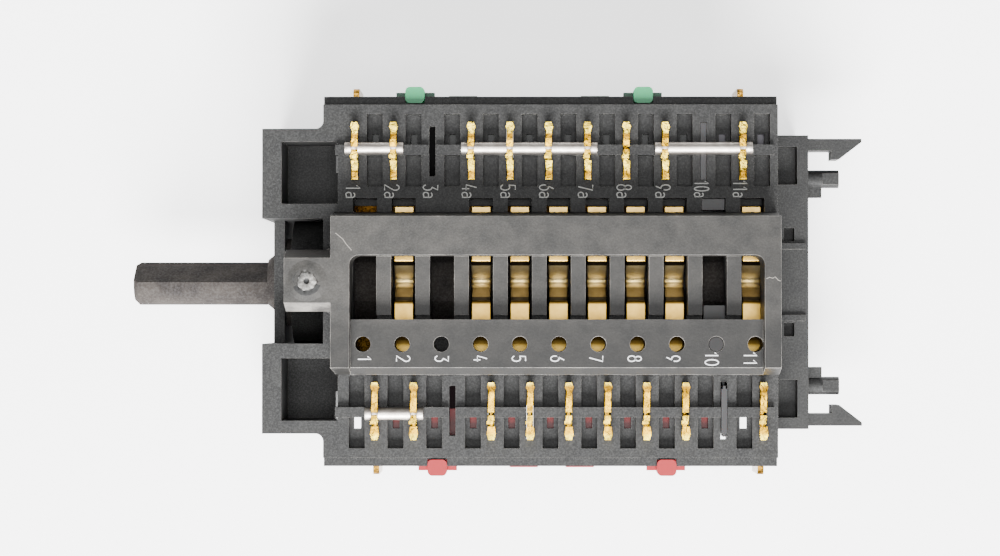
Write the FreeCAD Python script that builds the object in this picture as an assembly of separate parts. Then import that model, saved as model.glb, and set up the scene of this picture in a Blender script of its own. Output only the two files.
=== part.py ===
import FreeCAD, Part
import math
import os

Vector = FreeCAD.Vector

# Rotary oven selector switch, in millimetres.
# +X runs along the shaft from its knob end to the rear, +Z points out of the contact side,
# and the origin is on the shaft's axis in the plane of the two fixing ears' faces.

# Contact lanes
lane_count = 11
lane_pitch = 5.0
first_lane_x = 13.3
lane_width = 3.1
terminal_lanes = (1, 2, 4, 5, 6, 7, 8, 9, 11)
leaf_lanes = (2, 4, 5, 6, 7, 8, 9, 11)
tab_lanes = (1, 11)
blank_lane = 10
closed_lane = 3

# Fits, and how far a tool runs past the face that it opens
fit = 0.04
run_fit = 0.05
shell_fit = 0.1
cam_gap = 0.15
over = 1.0

# Housing
front_margin = 5.4
rear_margin = 3.3
header_half = 22.8
header_top = 14.0
plate_thick = 2.8
rim_half = 23.95
ledge_thick = 1.2
rim_wall = 2.4
rim_drop = 4.1
end_wall = 1.5
block_half = 16.2
tunnel_half = 14.5
chamber_r = 10.4
arch_sides = 12
parting_z = -4.0
base_z = -13.0
corner_r = 1.0

# Ears and front wall
screw_spacing = 28.0
screw_hole_r = 1.75
ear_inner = 8.1
ear_outer = 19.7
ear_wall = 2.5
pocket_length = 7.3
pocket_width = 8.06
pocket_floor = 3.7
front_wall_x = 0.8
front_wall = 1.4
front_wall_top = 5.0
barrel_x = 3.2
wheel_bore_r = 6.2

# Terminal rows, given for the upper row and mirrored for the lower
sheet = 0.8
strip_width = 2.6
blade_in = 13.05
blade_out = 20.45
blade_proud = 1.7
wire_y = 17.1
wire_slot = 0.4
fork_depth = 2.4
notch_below = 1.47
notch_width = 0.3
notch_depth = 1.0
closed_slot_skin = 1.0
stub_out = 25.1
stub_height = 1.5
stub_low = 1.5
blank_slot_length = 6.45
blank_plate = 1.5
blank_drop = 0.8
fixed_tongue_top = 10.05
fixed_tongue_tip = 7.4
fixed_tongue_root = 16.0
tongue_ledge = 0.5
root_tongue_top = 13.1
root_tongue_tip = 5.2
root_tongue_root = 12.1
root_web = 2.1

# A blade's edges seen from above, as (distance, half width towards -X, half width towards +X):
# down from its coined tip, up from the wire, and up from its tail in the upper and lower row
tip_rows = ((0.0, 0.36, 0.36), (0.6, 0.52, 0.6), (1.2, 0.25, 0.42), (1.5, 0.3, 0.42))
arm_rows = ((0.9, 0.4, 0.4), (-0.84, 0.4, 0.38), (-0.92, 0.55, 0.28), (-1.3, 0.55, 0.28),
            (-1.64, 0.4, 0.48))
upper_tail_rows = ((1.3, 0.3, 0.44), (0.0, 0.3, 0.46))
lower_tail_rows = ((0.75, 0.55, 0.6), (0.0, 0.34, 0.38))

# Recesses between the blades
recess_width = 2.06
recess_depth = 1.8
recess_in = 12.2
recess_out = 21.6
upper_recess_offset = 1.27
lower_recess_offset = -1.05
window_width = 0.9
window_in = 17.6
window_out = 19.1
rib_y = 16.9
rib_width = 1.3
rib_proud = 0.9
rib_margin = 1.6
rib_rear_margin = 0.53

# Jumper wires
wire_r = 0.8
wire_z = 14.88
wire_over = 1.27
web_reach = 0.7
round_sides = 16
upper_wire_lanes = ((1, 2), (4, 7), (9, 11))
lower_wire_lanes = ((1, 2),)

# Leaf springs
leaf_thick = 0.4
leaf_root = -11.7
leaf_tip = 9.75
channel_out = 5.5
fold_half = 2.7
fold_depth = 3.5
nose_r = 0.7
leaf_step_in = 5.0
leaf_step_out = 6.8
leaf_step = 1.15
button_side = 1.7
button_thick = 0.5
button_y = 8.85

# Contact frame
frame_front = 4.0
frame_rear = 3.1
frame_out = 8.15
frame_foot_out = 8.9
frame_in = -11.1
frame_foot_in = -12.0
beam_in = 3.2
beam_height = 7.3
band_edge = -4.95
band_height = 4.9
side_wall_front = 2.4
side_wall_rear = 2.1
window_r = 1.2
divider_width = 1.87
divider_height = 2.0
divider_end = -4.4
probe_y = -8.1
probe_r = 1.0
pad_length = 4.0
frame_chamfer = 1.0
frame_nose_cut = 0.5
neck_x0 = 3.4
neck_top_half = 2.85
neck_foot_half = 3.95
neck_slope = 3.6
neck_under = 14.6
neck_web = 3.2
gusset_side = 0.8
stake_x = 5.9
stake_r = 1.35
stake_proud = 0.15
stake_hole_r = 0.42
stake_hole_depth = 1.2
dimple_r = 1.75
dimple_depth = 0.25

# Camshaft
shaft_r = 3.0
shaft_flat = 1.6
flat_angle = 57.8
shaft_length = 18.15
shaft_chamfer = 0.6
hub_r = 3.95
hub_nose = 0.3
flange_r = 5.8
flange_thick = 0.8
core_r = 6.6
core_sides = 8
core_step = 360.0 / core_sides
cam_width = 3.0
cam_drop = 1.2
cam_ramp = 4.0
detent_steps = 12
wheel_r = 5.8
wheel_width = 3.2
wheel_x = 5.3
tooth_turn = 1.0
notch_half = 1.06
notch_floor_r = 4.62
ball_r = 1.5
ball_seat = 6.2
ball_fit = 0.1
journal_r = 2.95
journal_length = 3.2

# Detent spring
spring_r = 1.15
spring_wire = 0.36
spring_turns = 5
spring_sides = 8
spring_floor = -12.0

# Locking combs
comb_thick = 1.9
comb_in = 16.4
comb_out = 22.5
comb_slot = 0.95
comb_slot_end = 20.6
comb_end = 1.2
knob_out = 25.2
knob_depth = 2.1
knob_proud = 0.4
wing_out = 24.6
bump_out = 24.2
knob_width = 2.5
wing_width = 5.0
bump_width = 3.7
upper_knobs = (19.7, 49.3)
upper_bumps = (25.9, 43.1)
lower_knobs = (22.6, 52.3)
lower_bumps = (33.8, 41.1)

# End plate
plate_half = 19.5
end_plate_thick = 5.0
end_plate_top = 3.0
end_pocket_y = (12.95, 18.0)
end_pocket_x = (0.9, 3.5)
end_pocket_depth = 3.0
key_pocket_y = (5.4, 7.2)
key_pocket_x = (1.7, 3.1)
key_pocket_depth = 2.0
rib_bar_y = 4.75
rib_bar_width = 0.8
rib_bar_height = 0.6
rib_bar_inset = 0.4
hook_y = (17.5, 19.1)
hook_reach = 7.2
hook_barb_x = 3.2
hook_flat = 1.0
hook_barb = 1.15
hook_tip = 0.45
hook_width = 4.0
pin_y = 13.8
pin_r = 1.2
pin_length = 4.3
pin_step = 2.1
pin_step_cut = 0.25
pin_foot_y = (11.3, 12.9)
pin_foot_length = 2.0

# Rear cover
cover_chamfer = 2.0
cover_tongue_half = 4.0
cover_rib_depth = 0.8
cover_rib_count = 5
snap_lanes = (2, 6, 10)
snap_width = 4.0
snap_thick = 1.2
snap_low = -9.0
snap_top = 2.0
catch_width = 2.4
catch_low = -1.6
catch_top = 0.2

# Each lane's closed detent positions, counted from the off position
programme = {
    2: (1, 2, 3, 4, 5, 6),
    4: (2, 5, 8, 9),
    5: (3, 4, 7),
    6: (1, 6, 10, 11),
    7: (4, 5, 6, 7, 8),
    8: (2, 3, 9, 10),
    9: (5, 7, 11),
    11: (1, 2, 3, 4, 5, 6, 7, 8, 9, 10),
}

# Derived places
last_lane_x = first_lane_x + lane_pitch * (lane_count - 1)
frame_x0 = first_lane_x - frame_front
frame_x1 = last_lane_x + frame_rear
header_x0 = first_lane_x - front_margin
header_x1 = last_lane_x + rear_margin
plate_under = header_top - plate_thick
comb_top = plate_under - fit
comb_under = comb_top - comb_thick
rim_top = comb_under - fit
rim_under = rim_top - rim_drop
ledge_top = plate_under + ledge_thick
knob_in = knob_out - knob_depth
blade_top = header_top + blade_proud
cap_under = header_top + rib_proud + fit
blade_foot = fixed_tongue_top - sheet
leaf_under = root_tongue_top
leaf_mid = leaf_under + leaf_thick / 2
fold_slope = math.sin(math.atan(fold_half / fold_depth))
nose_z = leaf_mid - fold_depth - leaf_thick / 2 / fold_slope + nose_r * (1 / fold_slope - 1)
cam_r = nose_z - cam_gap
beam_top = header_top + beam_height
band_top = header_top + band_height
front_wall_back = front_wall_x + front_wall
flange_x = front_wall_back + shell_fit
chamber_x0 = header_x0 + end_wall
chamber_x1 = header_x1 - end_wall
core_x0 = chamber_x0 + end_wall + 2 * shell_fit
end_plate_x1 = header_x1 + end_plate_thick
screw_y = screw_spacing / 2


def lane(number):
    return first_lane_x + lane_pitch * (number - 1)


def blade_x(number, side):
    return lane(number) - side * strip_width / 2


def box(x0, x1, y0, y1, z0, z1):
    low = Vector(min(x0, x1), min(y0, y1), min(z0, z1))
    return Part.makeBox(abs(x1 - x0), abs(y1 - y0), abs(z1 - z0), low)


def rod_x(radius, x0, x1, y=0.0, z=0.0):
    return Part.makeCylinder(radius, x1 - x0, Vector(x0, y, z), Vector(1, 0, 0))


def rod_z(radius, x, y, z0, z1):
    return Part.makeCylinder(radius, z1 - z0, Vector(x, y, z0), Vector(0, 0, 1))


def cone_x(r0, r1, x0, x1):
    return Part.makeCone(r0, r1, x1 - x0, Vector(x0, 0, 0), Vector(1, 0, 0))


def prism_x(points, x0, x1):
    ring = [Vector(x0, y, z) for y, z in points]
    face = Part.Face(Part.makePolygon(ring + ring[:1]))
    return face.extrude(Vector(x1 - x0, 0, 0))


def polar(x, radius, degrees):
    """A point about the shaft's axis, with 0 degrees at +Z and turning towards +Y."""
    turn = math.radians(degrees)
    return Vector(x, radius * math.sin(turn), radius * math.cos(turn))


def polygon(radius, sides, u, v):
    """A regular outline about (u, v), for small round forms that repeat."""
    turns = [2 * math.pi * i / sides for i in range(sides)]
    return [(u + radius * math.cos(turn), v + radius * math.sin(turn)) for turn in turns]


def around(places):
    """An outline from (radius, degrees) places about the shaft's axis."""
    corners = [polar(0, radius, degrees) for radius, degrees in places]
    return [(corner.y, corner.z) for corner in corners]


def prism_z(points, z0, z1):
    ring = [Vector(x, y, z0) for x, y in points]
    face = Part.Face(Part.makePolygon(ring + ring[:1]))
    return face.extrude(Vector(0, 0, z1 - z0))


def fused(shapes):
    whole = shapes[0].fuse(shapes[1:]) if len(shapes) > 1 else shapes[0]
    return whole.removeSplitter()


def edges_along(shape, axis, near):
    chosen = []
    for edge in shape.Edges:
        if edge.Curve.TypeId != "Part::GeomLine":
            continue
        ends = [vertex.Point for vertex in edge.Vertexes]
        span = ends[1] - ends[0]
        if abs(span.normalize() * axis) > 0.999 and near((ends[0] + ends[1]) * 0.5):
            chosen.append(edge)
    return chosen


def row_cuts(side, numbers):
    """Slots in the terminal plate for one row's blades."""
    cuts = []
    for number in numbers:
        x = blade_x(number, side)
        half = sheet / 2 + fit
        low = blade_foot - fit
        cuts.append(box(x - half, x + half, side * (blade_in - fit), side * (blade_out + fit),
                        low, header_top + over))
    return cuts


def recess_cuts(side, offset):
    """The row's pockets, with a window beside the rib through each floor."""
    cuts = []
    middle = recess_width / 2
    for number in range(1, lane_count + 1):
        x = lane(number) + offset
        cuts.append(box(x - middle, x + middle, side * recess_in, side * recess_out,
                        header_top - recess_depth, header_top + over))
        cuts.append(box(x - window_width / 2, x + window_width / 2,
                        side * window_in, side * window_out, rim_under - over, header_top))
    return cuts


def lane_channels():
    """Each lane's way from the spring's root, over the cams, to its fixed contact."""
    cuts = []
    for number in range(1, lane_count + 1):
        x0 = lane(number) - lane_width / 2
        x1 = lane(number) + lane_width / 2
        cuts.append(box(x0, x1, band_edge, channel_out, 0, header_top + over))
        cuts.append(box(x0, x1, -root_tongue_root - fit, band_edge + over,
                        root_tongue_top - sheet - fit, header_top + over))
        if number != closed_lane:
            cuts.append(box(x0, x1, leaf_step_in, leaf_tip + shell_fit,
                            blade_foot - fit, header_top + over))
            cuts.append(box(x0, x1, leaf_step_in, recess_in - end_wall,
                            fixed_tongue_top + tongue_ledge, header_top + over))
    return cuts


def terminal_seats():
    """Room for the tongues and webs that join the blades to the lanes."""
    cuts = []
    half = sheet / 2 + fit
    for number in terminal_lanes + (blank_lane,):
        x = blade_x(number, 1)
        cuts.append(box(x - half, x + strip_width + fit, fixed_tongue_tip,
                        fixed_tongue_root + fit, blade_foot - fit, fixed_tongue_top + fit))
        x = blade_x(number, -1)
        cuts.append(box(x - half, x + half, -blade_in - over, -root_tongue_tip + fit,
                        root_tongue_top - root_web - fit, root_tongue_top))
        cuts.append(box(x - half, x + half, -blade_in - over, -root_tongue_root + over,
                        root_tongue_top - root_web, root_tongue_top + fit))
    for number in tab_lanes:
        for side in (1, -1):
            x = blade_x(number, side)
            cuts.append(box(x - half, x + half, side * blade_in, side * (rim_half + over),
                            blade_foot - fit, blade_foot + stub_height + fit))
    return cuts


def ear(side):
    """One fixing ear, cored from both faces around its screw boss."""
    block = box(0, header_x0 + over, side * ear_inner, side * ear_outer, base_z, header_top)
    fillet_at = Vector(header_x0 - corner_r, side * (ear_outer + corner_r), base_z)
    web = box(header_x0 - corner_r, header_x0 + over, side * ear_outer,
              side * (ear_outer + corner_r), rim_under, header_top)
    web = web.cut(Part.makeCylinder(corner_r, header_top - base_z, fillet_at))
    return fused([block, web])


def ear_cuts(side):
    x0 = ear_wall
    x1 = ear_wall + pocket_length
    y0 = side * screw_y - pocket_width / 2
    y1 = side * screw_y + pocket_width / 2
    return [
        box(x0, x1, y0, y1, pocket_floor, header_top + over),
        box(x0, x1 - end_wall, y0, y1, base_z - over, -pocket_floor),
        rod_x(screw_hole_r, -1, header_x0 - end_wall, side * screw_y),
    ]


def wire_span(first, last, side):
    return blade_x(first, side) - wire_over, blade_x(last, side) + wire_over


def snap_catch(x, side):
    """A wedge on the tunnel's wall that one of the cover's arms snaps over."""
    outline = [
        (side * (tunnel_half - over), catch_low),
        (side * tunnel_half, catch_low),
        (side * (tunnel_half + snap_thick), catch_top),
        (side * (tunnel_half - over), catch_top),
    ]
    return prism_x(outline, x - catch_width / 2, x + catch_width / 2)


def snap_arm(x, side):
    """One of the cover's arms, with a window for its catch."""
    root = box(x - snap_width / 2, x + snap_width / 2, side * (tunnel_half - cover_rib_depth),
               side * (tunnel_half + snap_thick), snap_low, parting_z - fit)
    blade_part = box(x - snap_width / 2, x + snap_width / 2, side * (tunnel_half + fit),
                     side * (tunnel_half + snap_thick), parting_z - over, snap_top)
    window = box(x - catch_width / 2 - shell_fit, x + catch_width / 2 + shell_fit,
                 side * tunnel_half, side * (tunnel_half + snap_thick + over),
                 catch_low - shell_fit, catch_top + shell_fit)
    return fused([root, blade_part]).cut(window)


def tunnel_section():
    """The cam tunnel's section, arched by flats that clear the cams."""
    arch = [(chamber_r / math.cos(math.pi / arch_sides), 360.0 / arch_sides * (i + 0.5))
            for i in range(-arch_sides // 4 - 1, arch_sides // 4 + 1)]
    ring = around(arch)
    return [(ring[0][0], parting_z - over)] + ring + [(ring[-1][0], parting_z - over)]


def housing():
    """The black moulding: terminal plate, comb bays, cam tunnel, ears and front wall."""
    solids = [
        box(header_x0, header_x1, -header_half, header_half, plate_under, header_top),
        box(header_x0, header_x1, -block_half, block_half, rim_under, plate_under),
        box(header_x0, header_x1, -tunnel_half, tunnel_half, parting_z, rim_under),
        box(barrel_x, chamber_x0, -ear_inner, ear_inner, base_z, 0),
        rod_x(ear_inner, barrel_x, chamber_x0),
        box(neck_x0 + over, header_x0 + over, -neck_web, neck_web, 0, neck_under - fit),
        box(front_wall_x, front_wall_back, -ear_inner, ear_inner, base_z, front_wall_top),
        rod_z(stake_r, stake_x, 0, neck_under - over, beam_top + stake_proud),
    ]
    for side in (1, -1):
        solids.append(ear(side))
        solids.append(box(header_x0, header_x1, side * (rim_half - rim_wall), side * rim_half,
                          rim_under, rim_top))
        solids.append(box(header_x0, header_x1, side * (header_half - over), side * rim_half,
                          plate_under, ledge_top))
        for x in (header_x0, header_x1 - end_wall):
            solids.append(box(x, x + end_wall, side * block_half, side * rim_half,
                              rim_under, rim_top))
            solids.append(box(x, x + end_wall, side * block_half, side * header_half,
                              rim_top, plate_under))
        for number in range(2, lane_count, 2):
            x = lane(number) + lane_pitch / 2
            solids.append(box(x - sheet / 2, x + sheet / 2, side * block_half,
                              side * (rim_half - rim_wall), rim_under, rim_top - over))
        for number in snap_lanes:
            solids.append(snap_catch(lane(number), side))
    body = fused(solids)
    cuts = [
        prism_x(tunnel_section(), chamber_x0, chamber_x1),
        rod_x(journal_r + shell_fit, chamber_x1 - over, header_x1 + over),
        box(chamber_x1 - over, header_x1 + over, -journal_r - shell_fit, journal_r + shell_fit,
            parting_z - over, 0),
        rod_x(wheel_bore_r, barrel_x - over, chamber_x0 + over),
        rod_x(hub_r + run_fit, -over, front_wall_back + over),
        box(barrel_x - over, chamber_x0 + over, -cover_tongue_half - shell_fit,
            cover_tongue_half + shell_fit, base_z - over, 0),
        rod_z(stake_hole_r, stake_x, 0, beam_top + stake_proud - stake_hole_depth,
              beam_top + stake_proud + over),
    ]
    cuts += lane_channels() + terminal_seats()
    cuts += row_cuts(1, terminal_lanes + (blank_lane,))
    cuts += row_cuts(-1, terminal_lanes + (blank_lane,))
    cuts += recess_cuts(1, upper_recess_offset) + recess_cuts(-1, lower_recess_offset)
    for side in (1, -1):
        cuts += ear_cuts(side)
        x = blade_x(closed_lane, side)
        middle = side * (blade_in + blade_out) / 2
        low = plate_under + closed_slot_skin if side > 0 else blade_foot
        cuts.append(box(x - sheet / 2, x + sheet / 2, middle - blank_slot_length / 2,
                        middle + blank_slot_length / 2, low, header_top + over))
        for x in upper_knobs if side > 0 else lower_knobs:
            half = knob_width / 2 + fit
            cuts.append(box(x - half, x + half, side * (knob_in - fit), side * (rim_half + over),
                            plate_under - over, ledge_top + over))
    body = body.cut(cuts)
    ribs = []
    for side in (1, -1):
        rib = box(header_x0 + rib_margin, header_x1 - rib_rear_margin, side * (rib_y - rib_width / 2),
                  side * (rib_y + rib_width / 2), header_top - recess_depth, header_top + rib_proud)
        slots = row_cuts(side, range(1, lane_count + 1))
        for first, last in (upper_wire_lanes if side > 0 else lower_wire_lanes):
            x0, x1 = wire_span(first, last, side)
            slots.append(box(x0 - fit, x1 + fit, side * (rib_y - over), side * (rib_y + over),
                             wire_z - wire_r - fit, wire_z + over))
        ribs.append(rib.cut(slots))
    return fused([body] + ribs)


def blade_outline(x, side):
    """A blade's edges seen from above, from its coined tip to its tail, both rows facing +Y."""
    tip = max(side * blade_in, side * blade_out)
    tail = min(side * blade_in, side * blade_out)
    rows = [(tip - down, left, right) for down, left, right in tip_rows]
    rows += [(side * wire_y + up, left, right) for up, left, right in arm_rows]
    tail_rows = upper_tail_rows if side > 0 else lower_tail_rows
    rows += [(tail + up, left, right) for up, left, right in tail_rows]
    outline = [(x - left, y) for y, left, right in rows]
    return outline + [(x + right, y) for y, left, right in reversed(rows)]


def blade(x, side, foot):
    """The upright tab with its wire fork: a plate in the YZ plane with a coined upper edge."""
    half = sheet / 2
    plate = box(x - half, x + half, side * blade_in, side * blade_out, foot, cap_under)
    cap = prism_z(blade_outline(x, side), cap_under, blade_top)
    fork = box(x - over, x + over, side * (wire_y - wire_slot / 2), side * (wire_y + wire_slot / 2),
               blade_top - fork_depth, blade_top + over)
    notch_y = side * wire_y - notch_below
    notch = box(x - over, x + over, notch_y - notch_width / 2, notch_y + notch_width / 2,
                blade_top - notch_depth, blade_top + over)
    return fused([plate, cap]).cut([fork, notch])


def terminal(number, side):
    """One brass stamping: fork blade, tongue into its lane, and an end stub on the end lanes."""
    x = blade_x(number, side)
    half = sheet / 2
    x_far = x + side * strip_width
    x_near = x - side * half
    solids = [blade(x, side, blade_foot)]
    if side > 0:
        solids.append(box(x_near, x_far, fixed_tongue_tip, fixed_tongue_root,
                          blade_foot, fixed_tongue_top))
    else:
        solids.append(box(x - half, x + half, -blade_in - half, -root_tongue_tip,
                          root_tongue_top - root_web, root_tongue_top))
        solids.append(box(x_near, x_far, -root_tongue_root, -root_tongue_tip,
                          root_tongue_top - sheet, root_tongue_top))
    if number in tab_lanes:
        slant = stub_height / 3
        outline = [
            (side * blade_in, blade_foot),
            (side * (rim_half + fit), blade_foot),
            (side * (rim_half + fit), stub_low),
            (side * stub_out, stub_low),
            (side * stub_out, blade_foot + stub_height - slant),
            (side * (stub_out - slant), blade_foot + stub_height),
            (side * blade_in, blade_foot + stub_height),
        ]
        solids.append(prism_x(outline, x - half, x + half))
    return fused(solids)


def strip(points, thickness):
    """Outline of a bent strip about its middle line, with mitred corners."""
    left = []
    right = []
    for i, point in enumerate(points):
        before = points[max(i - 1, 0)]
        after = points[min(i + 1, len(points) - 1)]
        a = Vector(point[0] - before[0], point[1] - before[1], 0)
        b = Vector(after[0] - point[0], after[1] - point[1], 0)
        a = a.normalize() if a.Length else b.normalize()
        b = b.normalize() if b.Length else a
        normal = Vector(-a.y - b.y, a.x + b.x, 0).normalize()
        reach = thickness / 2 / (normal.x * -a.y + normal.y * a.x)
        left.append((point[0] + normal.x * reach, point[1] + normal.y * reach))
        right.append((point[0] - normal.x * reach, point[1] - normal.y * reach))
    return left + right[::-1]


def leaf(number):
    """The moving contact: a sprung strip folded down onto its cam."""
    x = lane(number)
    line = [
        (leaf_root, leaf_mid),
        (-fold_half, leaf_mid),
        (0, leaf_mid - fold_depth),
        (fold_half, leaf_mid),
        (leaf_step_in, leaf_mid),
        (leaf_step_out, leaf_mid - leaf_step),
        (leaf_tip, leaf_mid - leaf_step),
    ]
    spring = prism_x(strip(line, leaf_thick), x - strip_width / 2, x + strip_width / 2)
    nose = edges_along(spring, Vector(1, 0, 0), lambda p: abs(p.y) < leaf_thick)
    return spring.makeFillet(nose_r, nose)


def buttons(z, numbers):
    """Square silver contact pads, welded on one per lane."""
    half = button_side / 2
    return Part.makeCompound([
        box(lane(n) - half, lane(n) + half, button_y - half, button_y + half, z, z + button_thick)
        for n in numbers])


def jumper(first, last, side):
    """A tinned wire pressed into the forks, pinched to a thin web at each blade."""
    start, stop = wire_span(first, last, side)
    section = polygon(wire_r, round_sides, side * wire_y, wire_z)
    half = sheet / 2
    solids = []
    for number in range(first, last + 1):
        if number not in terminal_lanes:
            continue
        x = blade_x(number, side)
        solids.append(prism_x(section, start, x - half))
        solids.append(box(x - half - fit, x + half + fit, side * wire_y - wire_slot / 2,
                          side * wire_y + wire_slot / 2, wire_z - web_reach, wire_z + web_reach))
        start = x + half
    solids.append(prism_x(section, start, stop))
    return fused(solids)


def blank_upper():
    """Grey plastic piece that fills the unused lane's upper slot."""
    x = blade_x(blank_lane, 1)
    half = sheet / 2
    centre = lane(blank_lane)
    cheek = lane_width / 2 - fit
    back = recess_in - end_wall - fit
    return fused([
        box(x - half, x + half, blade_in, blade_out, blade_foot, header_top),
        box(x - half, x + strip_width, fixed_tongue_tip, fixed_tongue_root,
            blade_foot, fixed_tongue_top),
        box(centre - cheek, centre + cheek, back - blank_plate, back,
            fixed_tongue_top + tongue_ledge + fit, header_top - blank_drop),
        box(centre - cheek, centre + cheek, back - blank_plate, leaf_tip + shell_fit - fit,
            blade_foot, header_top - blank_drop),
    ])


def blank_lower():
    """Grey plastic piece in the unused lane, with a thin blade and a peg in its probe hole."""
    x = blade_x(blank_lane, -1)
    centre = lane(blank_lane)
    half = sheet / 2
    thin = half / 2
    return fused([
        box(x - thin, x + thin, -blade_out + half, -blade_in - half, blade_foot, cap_under),
        box(x - half, x + half, -blade_out + sheet, -blade_in - sheet, blade_foot, cap_under),
        box(x - thin, x + thin, -blade_in - half, -root_tongue_tip,
            root_tongue_top - root_web, root_tongue_top),
        box(centre - strip_width / 2, x + thin, -root_tongue_root, -fold_half - half,
            root_tongue_top - sheet, header_top - leaf_thick),
        prism_z(polygon(probe_r - fit, round_sides, centre, probe_y), root_tongue_top,
                band_top - fit),
    ])


def contact_frame():
    """The raised front moulding that clamps the springs and screens the lanes apart."""
    z0 = header_top
    section = [
        (frame_foot_out, z0),
        (frame_foot_in, z0),
        (frame_foot_in, z0 + band_height - frame_chamfer),
        (frame_in, band_top),
        (band_edge, band_top),
        (band_edge, beam_top),
        (frame_out, beam_top),
    ]
    body = prism_x(section, frame_x0, frame_x1)
    inner_x0 = frame_x0 + side_wall_front
    inner_x1 = frame_x1 - side_wall_rear
    side_section = [
        (frame_foot_out, z0),
        (frame_foot_in, z0),
        (frame_foot_in, z0 + band_height - frame_chamfer),
        (frame_in, beam_top),
        (frame_out, beam_top),
    ]
    walls = [prism_x(side_section, frame_x0, inner_x0), prism_x(side_section, inner_x1, frame_x1)]
    window = box(inner_x0, inner_x1, band_edge, beam_in, z0 - over, beam_top + over)
    corners = edges_along(window, Vector(0, 0, 1), lambda p: p.y > 0)
    window = window.makeFillet(window_r, corners)
    body = body.cut(window)
    solids = [body] + [wall.cut(window) for wall in walls]
    for number in range(1, lane_count):
        x = lane(number) + lane_pitch / 2
        solids.append(box(x - divider_width / 2, x + divider_width / 2, divider_end, beam_in + over,
                          z0, z0 + divider_height))
    for number in leaf_lanes:
        x = lane(number)
        pad_half = strip_width / 2
        solids.append(box(x - pad_half, x + pad_half, probe_y - pad_length / 2,
                          probe_y + pad_length / 2, leaf_under + leaf_thick, z0 + over))
    neck_section = [
        (neck_foot_half, neck_under),
        (neck_foot_half, beam_top - neck_slope),
        (neck_top_half, beam_top),
        (-neck_top_half, beam_top),
        (-neck_foot_half, beam_top - neck_slope),
        (-neck_foot_half, neck_under),
    ]
    solids.append(prism_x(neck_section, neck_x0, frame_x0 + over))
    for sign in (1, -1):
        gusset = [
            (frame_x0 - gusset_side, sign * neck_foot_half),
            (frame_x0 + over, sign * (neck_foot_half + gusset_side)),
            (frame_x0 + over, sign * neck_foot_half),
        ]
        solids.append(prism_z(gusset, neck_under, beam_top - neck_slope))
    body = fused(solids)
    cuts = [prism_z(polygon(probe_r, round_sides, lane(n), probe_y), z0 - over, band_top + over)
            for n in range(1, lane_count + 1)]
    nose = [(frame_x0, frame_in), (frame_x0 + frame_nose_cut, frame_foot_in), (frame_x0, frame_foot_in)]
    cuts.append(prism_z(nose, z0 - over, beam_top + over))
    cuts.append(rod_z(stake_r + fit, stake_x, 0, neck_under - over, beam_top + over))
    cuts.append(rod_z(dimple_r, stake_x, 0, beam_top - dimple_depth, beam_top + over))
    return body.cut(cuts)


def cam(closed, x0, x1):
    """One cam: full radius where its spring is lifted, lower where the contact may close."""
    step = 360.0 / detent_steps
    radii = [cam_r - cam_drop if i in closed else cam_r for i in range(detent_steps)]
    places = []
    for i, radius in enumerate(radii):
        start = -i * step + step / 2
        ramp_in = cam_ramp / 2 if radii[i - 1] != radius else 0
        ramp_out = cam_ramp / 2 if radii[(i + 1) % detent_steps] != radius else 0
        places.append((radius, start - ramp_in))
        places.append((radius, start - step / 2))
        if ramp_out:
            places.append((radius, start - step + ramp_out))
    return prism_x(around(places), x0, x1)


def detent_wheel():
    """The toothed wheel, with one flat-bottomed notch for each position."""
    step = 360.0 / detent_steps
    notch_turn = math.degrees(math.atan2(notch_half, notch_floor_r))
    places = []
    for i in range(detent_steps):
        places.append((notch_floor_r, i * step - notch_turn))
        places.append((notch_floor_r, i * step + notch_turn))
        places.append((wheel_r, (i + 0.5) * step - tooth_turn))
        places.append((wheel_r, (i + 0.5) * step + tooth_turn))
    return prism_x(around(places), wheel_x - wheel_width / 2, wheel_x + wheel_width / 2)


def camshaft():
    """Shaft, hub, detent wheel, cams and rear journal, moulded as one piece."""
    tip = -shaft_length
    core_end = chamber_x1 - shell_fit
    journal_end = header_x1 + journal_length
    solids = [
        cone_x(shaft_r - shaft_chamfer, shaft_r, tip, tip + shaft_chamfer),
        rod_x(shaft_r, tip + shaft_chamfer, flange_x),
    ]
    flat = box(tip - over, -hub_nose, -shaft_r - over, shaft_r + over, shaft_flat, shaft_r + over)
    flat.rotate(Vector(0, 0, 0), Vector(1, 0, 0), -flat_angle)
    shaft = fused(solids).cut(flat)
    core = [(core_r, core_step * (i + 0.5)) for i in range(core_sides)]
    solids = [
        shaft,
        cone_x(shaft_r + run_fit, hub_r, -hub_nose, front_wall_x),
        rod_x(hub_r, front_wall_x, flange_x + over),
        rod_x(flange_r, flange_x, flange_x + flange_thick),
        rod_x(hub_r, flange_x, core_x0 + over),
        detent_wheel(),
        prism_x(around(core), core_x0, core_end),
        rod_x(journal_r, core_end - over, journal_end),
    ]
    for number, closed in programme.items():
        x = lane(number)
        solids.append(cam(closed, x - cam_width / 2, x + cam_width / 2))
    return fused(solids)


def detent_ball():
    return Part.makeSphere(ball_r, Vector(wheel_x, 0, -ball_seat))


def detent_spring():
    """The coil that presses the ball into its wheel, bent from square wire."""
    top = -ball_seat - ball_r - fit
    low = spring_floor + fit
    rise = top - low - spring_wire
    count = spring_turns * spring_sides
    points = []
    for i in range(count + 1):
        turn = 2 * math.pi * i / spring_sides
        height = low + spring_wire / 2 + rise * i / count
        points.append(Vector(wheel_x + spring_r * math.cos(turn), spring_r * math.sin(turn), height))
    half = spring_wire / 2
    ahead = (points[1] - points[0]).normalize()
    out = Vector(1, 0, 0)
    up = ahead.cross(out).normalize()
    corners = [points[0] + out * a + up * b
               for a, b in ((-half, -half), (half, -half), (half, half), (-half, half))]
    profile = Part.makePolygon(corners + corners[:1])
    return Part.makePolygon(points).makePipeShell([profile], True, False, 1)


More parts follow.
